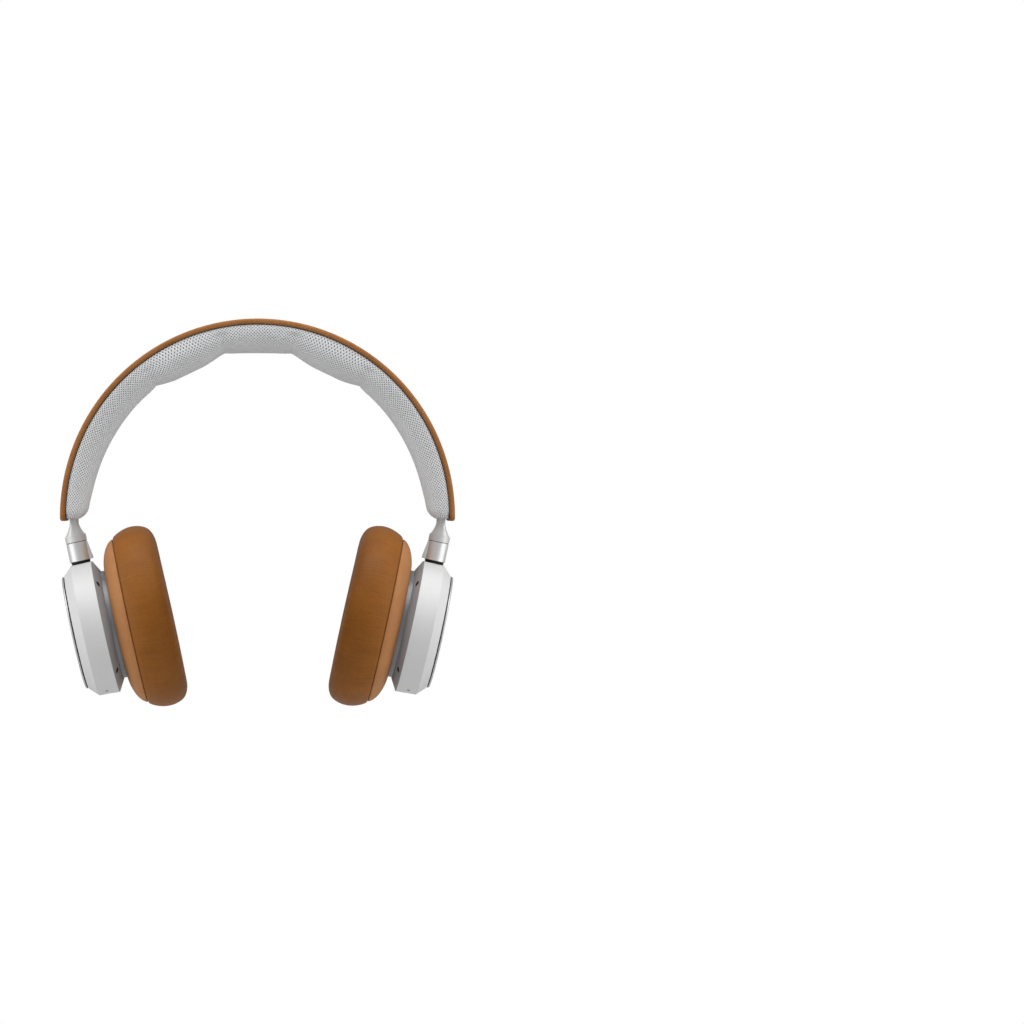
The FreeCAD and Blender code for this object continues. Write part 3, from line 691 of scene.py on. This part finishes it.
def stitch_line():
    """Tone on tone stitches down both edges of the leather."""
    shape, shape_faces = capsule(STITCH_LEN, STITCH_R)
    count = int(math.radians(STITCH_SPAN_DEG) * BAND_R / STITCH_PITCH)
    points, faces = [], []
    for k in range(count + 1):
        deg = 90 + STITCH_SPAN_DEG * (k / count - 0.5)
        x = BAND_R * math.cos(math.radians(deg))
        for side in (-1, 1):
            lean = Matrix.Rotation(math.radians(STITCH_LEAN_DEG * side), 4, "X")
            lie = Matrix.Rotation(math.radians(-deg), 4, "Y") @ lean
            at = arch(BAND_R - STITCH_SINK, deg, side * (half_width(x) - STITCH_IN))
            start = len(points)
            points += [at + lie @ p for p in shape]
            faces += [tuple(start + i for i in face) for face in shape_faces]
    mesh = bpy.data.meshes.new("cover_stitches")
    mesh.from_pydata(points, [], faces)
    piece = finished(mesh, "cover_stitches")
    dress(piece, "thread")
    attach(piece, "headband")


# The underside of the pad as (degrees from the left end, radius), a smooth curve through these points
PAD_UNDERSIDE = (
    (4.5, 84.6), (10.0, 84.0), (19.0, 83.4), (32.0, 83.0), (46.0, 83.0), (51.5, 82.7), (55.0, 81.4),
    (58.0, 80.1), (61.0, 79.85), (67.0, 79.85), (70.5, 80.2), (74.0, 81.5), (77.0, 82.9), (80.0, 83.2),
    (84.0, 82.9), (90.0, 82.6),
)
PAD_END_DEG = -0.51
PAD_END_ROLL = 4.2       # how far the underside rises towards the leather at each end
PAD_MARGIN = 0.7         # the knit pad is this much narrower than the leather on each side
PAD_CORNER = 7.4         # radius of its rolled lower edges
PAD_LIFT = 1.1           # the underside is crowned: its edges stand this much higher than its middle
PAD_CREASES = (52.5, 78.5)
CREASE_SINK, CREASE_PINCH = 0.3, 0.9       # how deep a crease is in the underside and in the sides
CREASE_HELD_R = 86.0     # a crease is sewn down below this radius
PAD_END_MARKS = (-0.3, 0.0, 0.4, 0.9, 1.5, 2.2, 3.0, 4.0)
PAD_STEP_DEG, CREASE_STEP_DEG = 1.0, 0.35

# The tunnel of the arm's sleeve, and its narrower mouth, as (half width, inner radius, outer radius)
GUIDE = (7.25, 88.55, 94.6)
MOUTH = (4.75, 89.5, 93.9)
GUIDE_DEG = 30.3
KNIT_R = 89.0            # the radius at which the knit's pattern has its true length


def underside(deg):
    """The pad's inner radius at an angle: rolled at the end, then a smooth curve through the knots."""
    deg = min(deg, 180 - deg)
    knots = PAD_UNDERSIDE
    if deg <= knots[0][0]:
        fall = (knots[0][0] - deg) / (knots[0][0] - PAD_END_DEG)
        return knots[0][1] + PAD_END_ROLL * fall ** 2.9

    def slope(i):
        if i in (0, len(knots) - 1):
            return 0.0
        return (knots[i + 1][1] - knots[i - 1][1]) / (knots[i + 1][0] - knots[i - 1][0])

    i = max(k for k in range(len(knots) - 1) if knots[k][0] < deg)
    (a0, r0), (a1, r1) = knots[i], knots[i + 1]
    t, span = (deg - a0) / (a1 - a0), a1 - a0
    ease = t * t * (3 - 2 * t)
    bends = (t ** 3 - 2 * t ** 2 + t) * slope(i) + (t ** 3 - t ** 2) * slope(i + 1)
    return lerp(r0, r1, ease) + span * bends


def pad_section(deg):
    """The knit pad's outline at an angle, as (y, r), with its rolled lower edges and crowned underside."""
    near_end = min(deg, 180 - deg)
    x = BAND_R * math.cos(math.radians(deg))
    w = half_width(x) - PAD_MARGIN
    low = underside(deg)
    top = CORE_TOP_R - 0.08
    if near_end < 2.0:
        roll = ((2.0 - near_end) / (2.0 - PAD_END_DEG)) ** 2
        w -= 1.6 * roll
        top -= 0.2 * roll
    crease = sum(math.exp(-(((near_end - c) / 1.1) ** 2)) for c in PAD_CREASES)
    fold = sum(math.exp(-(((near_end - c) / 2.0) ** 2)) for c in PAD_CREASES)
    corner = min(PAD_CORNER, (top - low) * 0.62)
    lift = PAD_LIFT * min(1.0, (top - low) / 9)
    inner = CORE_IN_R - 0.1
    half = [(0, inner), (w * 0.35, inner), (w * 0.7, inner), (w - 1.5, inner), (w - 1.25, inner + 0.15)]
    half += [(w - 1.15, top - 0.25), (w - 0.95, top), (w - 0.45, top), (w - 0.12, top - 0.15)]
    side_low = low + lift + corner
    for k in range(1, 10):
        t = k / 9
        bulge = 0.35 * math.sin(math.pi * t) - CREASE_PINCH * fold * t ** 2
        half.append((w + bulge, lerp(top - 0.5, side_low, t)))
    for k in range(1, 8):
        a = math.radians(90 * k / 7)
        y = w - corner + corner * math.cos(a) - CREASE_PINCH * fold * math.cos(a)
        half.append((y, side_low - (corner - CREASE_SINK * crease) * math.sin(a)))
    for k in range(1, 9):
        y = (w - corner) * (1 - k / 8)
        half.append((y, low + lift * (y / (w - corner)) ** 2 + CREASE_SINK * crease))
    return half + [(-y, r) for y, r in reversed(half[1:-1])]


def pad_stations():
    """Angles of the pad's rows from the left end to the crown, closer at the end and the creases."""
    stations = [PAD_END_DEG, *PAD_END_MARKS]
    deg = 5.0
    while deg < 89.9:
        stations.append(deg)
        near = min(abs(deg - c) for c in PAD_CREASES)
        deg += CREASE_STEP_DEG if near < 2 else PAD_STEP_DEG
    return stations


def on_box(y, r, half_y, r_low, r_high):
    """The point of a rectangle in the same direction from its middle as (y, r)."""
    mid, half_r = (r_low + r_high) / 2, (r_high - r_low) / 2
    dy, dr = y, r - mid
    size = max(abs(dy) / half_y, abs(dr) / half_r, 1e-9)
    return dy / size, mid + dr / size


def headband_cushion():
    """The knit pad: one skin that turns in at each end and lines the tunnel of the arm's sleeve."""
    half = pad_stations()
    stations = half + [90.0] + [180 - s for s in reversed(half)]
    outer = [pad_section(s) for s in stations]

    def lining(section, deg, half_y, r_low, r_high):
        return [arch(r, deg, y) for y, r in (on_box(y, r, half_y, r_low, r_high) for y, r in section)]

    rows = [[arch(r, s, y) for y, r in section] for s, section in zip(stations, outer)]
    turned_in = ((PAD_END_DEG + 0.02, MOUTH), (-0.25, MOUTH), (0.1, GUIDE), (GUIDE_DEG, GUIDE))
    for end, flip in ((0, False), (-1, True)):
        sleeve = [lining(outer[end], 180 - d if flip else d, *size) for d, size in turned_in]
        rows = rows + sleeve if flip else sleeve[::-1] + rows
    reach = [math.radians(s) * KNIT_R for s in stations]
    inward = (4.0, 5.0, 7.0, 60.0)
    u = [reach[0] - d for d in reversed(inward)] + reach + [reach[-1] + d for d in inward]
    piece = grid_piece("knit_cushion", rows, cap=True, u=u + [u[-1] + 1])
    held = CORE_IN_R - 0.5

    def sewn(p):
        x, z = p.x / MM, p.z / MM - ARCH_Z
        r, deg = math.hypot(x, z), math.degrees(math.atan2(z, x))
        deg = min(deg, 180 - deg)
        tunnel = deg < GUIDE_DEG + 0.2 and r > GUIDE[1] - 0.15 and abs(p.y) < (GUIDE[0] + 0.15) * MM
        at_crease = min(abs(deg - c) for c in PAD_CREASES) < 0.3 and r < CREASE_HELD_R
        return r > held or tunnel or at_crease or deg < 0.2

    puff(piece, sewn, 2.0, 0.7)
    subdivide(piece)
    dress(piece, "knit")
    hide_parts("headband_cushion")
    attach(piece, "headband")


# ---------------------------------------------------------------- cups

EVEN_OVAL_H = 41.5       # from this half height outwards, the ear pad's width and height grow alike


def pad_width(h):
    """Half width of the ear pad where its half height is h: narrower in the opening than outside."""
    if h <= EVEN_OVAL_H:
        return lerp(EAR_HALF_W, EVEN_OVAL_H * OVAL, (h - EAR_HALF_H) / (EVEN_OVAL_H - EAR_HALF_H))
    return h * OVAL


# The ear pad's outline as (x, half height), from the seam with the carrier, round the face and back
EAR_PAD_OUTLINE = (
    (-17.75, 40.9), (-17.95, 42.1), (-19.2, 43.2), (-21.8, 44.5), (-24.6, 45.4), (-27.5, 45.8),
    (-30.5, 45.6), (-33.8, 44.6), (-36.3, 42.9), (-37.8, 40.2), (-38.5, 37.4), (-38.65, 35.4),
    (-38.4, 33.4), (-37.6, 31.8), (-36.6, 31.1), (-36.1, 31.35), (-35.6, 30.9), (-33.0, 30.3),
    (-29.0, 30.1), (-24.0, 30.2), (-19.0, 30.5), (-15.2, 30.9), (-14.45, 31.6), (-14.4, 33.2),
    (-14.45, 34.8), (-15.5, 36.8), (-16.7, 38.5), (-17.5, 39.6),
)
PAD_BACK_X = -18.6       # the pad is sewn to its backing plate up to here
PAD_SEAM_X = (-37.0, -35.4)        # the seam round the opening lies between these


def ear_pad(side):
    outline = spline(EAR_PAD_OUTLINE, 2)
    profile = [(p.x, p.y, pad_width(p.y)) for p in outline]
    piece = round_piece(side + "_leather_pad", side, profile)
    to_cup = cup_matrix(side).inverted()

    def from_opening(c):
        """1 on the edge of the opening, more outside it."""
        return math.hypot(c.y / EAR_HALF_W, c.z / EAR_HALF_H)

    def sewn(p):
        c = to_cup @ p
        return c.x > PAD_BACK_X or (PAD_SEAM_X[0] < c.x < PAD_SEAM_X[1] and from_opening(c) < 1.1)

    def wrinkles(p):
        """Fine gathers round the roll into the opening, and a faint unevenness elsewhere."""
        c = to_cup @ p
        a = math.atan2(c.y, c.z)
        inside = from_opening(c)
        roll = math.exp(-(((inside - 1.1) / 0.12) ** 2)) * (1 if c.x < -30 else 0)
        gathers = noise.noise(Vector((math.cos(a) * 14, math.sin(a) * 14, inside * 1.5)))
        waves = noise.noise(Vector((c.x, c.y, c.z)) * 0.09)
        free = min(1.0, max(0.0, (-19.5 - c.x) / 4))
        return (0.18 * roll * gathers + 0.10 * waves) * free

    puff(piece, sewn, 2.5, 0.6)
    ruffle(piece, wrinkles)
    subdivide(piece)
    dress(piece, "pad_leather")
    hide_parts(side + "_ear_pad")
    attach(piece, side + "_cup")


# The carrier's outline as (x, half height, half width)
CARRIER_OUTLINE = (
    (-10.62, 27.8, 27.8), (-10.6, 28.6, 28.1), (-10.75, 30.2, 28.8), (-11.2, 32.4, 30.1),
    (-12.1, 35.2, 32.0), (-13.4, 37.9, 34.0), (-15.1, 40.1, 35.7), (-16.7, 41.3, 36.4),
    (-17.3, 41.5, 36.5), (-17.6, 41.2, 36.2), (-17.55, 40.6, 35.7), (-16.8, 39.6, 34.8),
    (-14.9, 37.4, 33.0), (-13.4, 34.6, 31.0), (-12.7, 31.6, 29.4), (-12.4, 29.0, 28.5),
    (-12.3, 28.0, 27.9), (-11.9, 27.65, 27.65), (-11.1, 27.62, 27.62),
)


def pad_carrier(side):
    profile = [tuple(p) for p in spline(CARRIER_OUTLINE, 2)]
    piece = round_piece(side + "_carrier_cover", side, profile)
    subdivide(piece)
    dress(piece, "carrier_leather")
    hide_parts(side + "_pad_carrier")
    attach(piece, side + "_cup")


CLOTH_SEAM = 1.4         # how far the cloth reaches under the pad all round the opening
CLOTH_EDGE_X, CLOTH_MIDDLE_X, CLOTH_DISH = -14.15, -13.35, 0.9
CLOTH_RINGS, CLOTH_STEPS = 22, 96
CLOTH_HUB = 0.004        # the innermost ring, as a share of the outermost


def ear_cloth(side):
    """The acoustic cloth, stretched across the opening and slightly dished towards the driver."""
    place = cup_matrix(side)
    half_h, half_w = EAR_HALF_H + CLOTH_SEAM, EAR_HALF_W + CLOTH_SEAM
    turns = [2 * math.pi * k / CLOTH_STEPS for k in range(CLOTH_STEPS)]
    rows = []
    for i in range(CLOTH_RINGS + 1):
        t = max(i / CLOTH_RINGS, CLOTH_HUB)
        x = min(CLOTH_EDGE_X + CLOTH_DISH * (1 - t ** 3), CLOTH_MIDDLE_X)
        rows.append([place @ Vector((x, t * half_w * math.sin(a), t * half_h * math.cos(a))) for a in turns])
    piece = grid_piece(side + "_ear_cloth", rows)
    layer = piece.data.uv_layers["mm"].data
    to_cup = place.inverted()
    for loop, uv in zip(piece.data.loops, layer):
        c = to_cup @ piece.data.vertices[loop.vertex_index].co
        uv.uv = (c.y, c.z)
    dress(piece, "ear_cloth")
    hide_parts(side + "_ear_mesh")
    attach(piece, side + "_cup")


# The soft black boot between the barrel's foot and the cup, as (radius, z). It fills the gap there, and its
# black is painted shade of that gap.
BOOT_OUTLINE = (
    (4.90, LUG_Z + 0.20), (4.95, LUG_Z - 0.02), (4.60, LUG_Z - 0.22), (4.90, LUG_Z - 0.45),
    (4.55, LUG_Z - 0.68), (4.80, LUG_Z - 0.90), (4.75, SEAT_Z + 0.03), (4.0, SEAT_Z + 0.03),
    (3.6, LUG_Z - 0.6), (4.0, LUG_Z + 0.20),
)
BOOT_STEPS = 64


def tilt_shade_boot(side):
    place = cup_matrix(side)
    outline = spline(BOOT_OUTLINE, 3)
    rows = []
    for k in range(BOOT_STEPS):
        a = 2 * math.pi * k / BOOT_STEPS
        rows.append([place @ Vector((p.x * math.cos(a), p.x * math.sin(a), p.y)) for p in outline])
    piece = grid_piece(side + "_tilt_shade_boot", rows, wrap_rows=True)
    # Black, as painted shade of the gap under the barrel
    dress(piece, "boot_rubber")
    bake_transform(piece)


VENT_CIRCLE, VENT_R = 30.5, 1.38
BEVEL_EDGE = (-5.25, 33.5)     # the outer end of the cup's inner bevel, as (x, radius)
BEVEL_SLOPE = 3.15 / 5.6       # its x for each millimetre of radius
QUARTERS = (45, 135, 225, 315)
MIC_DEGS = (-69.0, 111.0)      # round the rim from straight ahead
MIC_X, MIC_R = 0.7, 0.78
RIM_R = 33.3
VENT_RECESS, MIC_RECESS = 0.2, 0.04
PLUG_T = 0.3
PLUG_STEPS = 24


def acoustic_shade_meshes(name, side, recess, plugs):
    """Dark plugs of acoustic mesh, whose black is also painted shade inside the holes. Each is a function of
    (turn, depth) that gives a point of the cup.
    """
    place = cup_matrix(side)
    points, faces = [], []
    for plug in plugs:
        top, low = len(points), len(points) + PLUG_STEPS
        for depth in (recess, recess + PLUG_T):
            points += [place @ Vector(plug(2 * math.pi * k / PLUG_STEPS, depth)) for k in range(PLUG_STEPS)]
        faces += [tuple(range(top, low)), tuple(range(low, low + PLUG_STEPS))]
        for k in range(PLUG_STEPS):
            k2 = (k + 1) % PLUG_STEPS
            faces.append((top + k, top + k2, low + k2, low + k))
    mesh = bpy.data.meshes.new(side + name)
    mesh.from_pydata(points, [], faces)
    piece = finished(mesh, mesh.name)
    mesh.shade_flat()
    # Black: partly acoustic mesh, partly painted shade inside the vents and microphone holes
    dress(piece, "boot_rubber")
    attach(piece, side + "_cup")


def vent_plug(degrees):
    """Just inside a vent, along the bevel."""
    y0, z0 = (VENT_CIRCLE * f(math.radians(degrees)) for f in (math.cos, math.sin))

    def point(turn, depth):
        y, z = y0 + VENT_R * math.cos(turn), z0 + VENT_R * math.sin(turn)
        return BEVEL_EDGE[0] - (BEVEL_EDGE[1] - math.hypot(y, z)) * BEVEL_SLOPE + depth, y, z

    return point


def mic_plug(degrees):
    """Just inside a microphone hole in the rim."""
    a = math.radians(degrees)

    def point(turn, depth):
        r, along = RIM_R - depth, MIC_R * math.sin(turn)
        return (MIC_X + MIC_R * math.cos(turn), -r * math.cos(a) + along * math.sin(a),
                r * math.sin(a) + along * math.cos(a))

    return point


# A black gasket in the gap under the outer plate, as (x, radius). Its black is painted shade of that gap.
GAP_SHADE_GASKET = ((8.7, 27.55), (8.7, 28.0), (9.9, 28.0), (9.95, 27.95), (9.95, 27.55))


def plate_shade_gasket(side):
    piece = round_piece(side + "_plate_shade_gasket", side, [(x, r, r) for x, r in GAP_SHADE_GASKET])
    piece.data.shade_flat()
    # Black, as painted shade of the gap under the outer plate
    dress(piece, "boot_rubber")
    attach(piece, side + "_cup")


# ---------------------------------------------------------------- studio, in metres

WORLD_LOW, WORLD_HIGH = 0.22, 0.6      # the surround's strength as a light, below and above
FLOOR_DROP = 0.32        # below the lowest point of the headphones
FLOOR_R = 6.0
FLOOR_TONES = (0.60, 0.63)
FADE_R = (0.35, 0.75)    # the floor fades into the white between these distances
SIDE_LIGHT_AT, SIDE_LIGHT_TO = (0.85, -0.35, 0.1), (0.08, 0, -0.1)     # on the left, mirrored on the right
SIDE_LIGHT_SIZE, SIDE_LIGHT_RADIANCE = (0.9, 1.1), 1.5
TOP_LIGHT_AT = (0, -0.25, 0.9)
TOP_LIGHT_SIZE, TOP_LIGHT_RADIANCE = (1.2, 0.8), 2.4
CAMERA_DISTANCE = 1.19
CAMERA_LENS = 83.6
CAMERA_SHIFT = 0.171
CAMERA_YAW = 1.9         # degrees


def area_light(name, at, towards, size, radiance):
    """A soft box with the same brightness all over."""
    data = bpy.data.lights.new(name, "AREA")
    data.shape = "RECTANGLE"
    data.size, data.size_y = size
    data.energy = radiance * math.pi * size[0] * size[1]
    lamp = bpy.data.objects.new(name, data)
    lamp.location = at
    lamp.rotation_euler = (Vector(towards) - Vector(at)).to_track_quat("-Z", "Y").to_euler()
    bpy.context.scene.collection.objects.link(lamp)
    return lamp


def shade_far_side(lamp, far_side):
    """Keeps a side light off the cup and arm of the other side, as a flag between them does."""
    lit = bpy.data.collections.new(lamp.name + "_lit")
    for obj in bpy.context.scene.objects:
        if obj.type == "MESH" and not obj.name.startswith(far_side + "_"):
            lit.objects.link(obj)
    lamp.light_linking.receiver_collection = lit


def world():
    """A white surround to look at, and one to light by that is dimmer, most of all from below."""
    w = bpy.data.worlds.new("surround")
    bpy.context.scene.world = w
    w.use_nodes = True
    tree = w.node_tree
    tree.nodes.clear()

    def node(kind, **sockets):
        made = tree.nodes.new(kind)
        for key, value in sockets.items():
            if isinstance(value, bpy.types.NodeSocket):
                tree.links.new(value, made.inputs[key])
            else:
                made.inputs[key].default_value = value
        return made

    white = (1, 1, 1, 1)
    split = node("ShaderNodeSeparateXYZ", Vector=node("ShaderNodeTexCoord").outputs["Generated"])
    height = node("ShaderNodeMapRange", Value=split.outputs["Z"])
    ends = {"From Min": -0.5, "From Max": 0.9, "To Min": WORLD_LOW, "To Max": WORLD_HIGH}
    for key, value in ends.items():
        height.inputs[key].default_value = value
    lit = node("ShaderNodeBackground", Color=white, Strength=height.outputs[0])
    seen = node("ShaderNodeBackground", Color=white, Strength=1.0)
    mix = node("ShaderNodeMixShader", Fac=node("ShaderNodeLightPath").outputs["Is Camera Ray"])
    tree.links.new(lit.outputs[0], mix.inputs[1])
    tree.links.new(seen.outputs[0], mix.inputs[2])
    node("ShaderNodeOutputWorld", Surface=mix.outputs[0])


def floor():
    """A pale floor that fades into the white surround away from the object."""
    look = Look("floor")
    squares = [look.math("MULTIPLY", part, part) for part in list(look.split(look.place()))[:2]]
    far = look.between(look.math("SQRT", look.math("ADD", *squares)), *FADE_R)
    seen = look.node("ShaderNodeLightPath").outputs["Is Camera Ray"]
    faded = look.math("MULTIPLY", far, seen)
    tone = look.blend(look.noise(6, 2.0), *[(t, t, t, 1) for t in FLOOR_TONES])
    look.set(Base_Color=look.blend(faded, tone, (0, 0, 0, 1)), Roughness=0.9)
    look.set(Specular_IOR_Level=0.0, Emission_Color=(1, 1, 1, 1), Emission_Strength=faded)
    mesh = bpy.data.meshes.new("floor")
    bm = bmesh.new()
    bmesh.ops.create_circle(bm, cap_ends=True, segments=96, radius=FLOOR_R)
    bm.to_mesh(mesh)
    bm.free()
    piece = bpy.data.objects.new("floor", mesh)
    piece.location = (0, 0, cad_box[0].z - FLOOR_DROP)
    mesh.materials.append(look.material)
    bpy.context.scene.collection.objects.link(piece)


def camera():
    data = bpy.data.cameras.new("camera")
    data.lens = CAMERA_LENS
    data.sensor_width = 36.0
    data.shift_x = CAMERA_SHIFT
    data.clip_start, data.clip_end = 0.05, 50
    cam = bpy.data.objects.new("camera", data)
    cam.location = (0, -CAMERA_DISTANCE, (ARCH_Z + 2.5) * MM)
    cam.rotation_euler = (math.radians(90), 0, math.radians(-CAMERA_YAW))
    bpy.context.scene.collection.objects.link(cam)
    bpy.context.scene.camera = cam


def studio():
    world()
    floor()
    middle = (0, 0, ARCH_Z * MM)
    for side, sign in SIDES.items():
        at, to = ((sign * x, y, z) for x, y, z in (SIDE_LIGHT_AT, SIDE_LIGHT_TO))
        lamp = area_light(side + "_light", at, to, SIDE_LIGHT_SIZE, SIDE_LIGHT_RADIANCE)
        shade_far_side(lamp, "right" if side == "left" else "left")
    area_light("top_light", TOP_LIGHT_AT, middle, TOP_LIGHT_SIZE, TOP_LIGHT_RADIANCE)
    camera()
    bpy.context.scene.view_settings.view_transform = "Standard"


# ---------------------------------------------------------------- all together

dress_frame()
headband_cover()
stitch_line()
headband_cushion()
for cup_side in SIDES:
    ear_pad(cup_side)
    pad_carrier(cup_side)
    ear_cloth(cup_side)
    tilt_shade_boot(cup_side)
    acoustic_shade_meshes("_vent_shade_meshes", cup_side, VENT_RECESS, [vent_plug(a) for a in QUARTERS])
    acoustic_shade_meshes("_mic_shade_meshes", cup_side, MIC_RECESS, [mic_plug(a) for a in MIC_DEGS])
    plate_shade_gasket(cup_side)
studio()
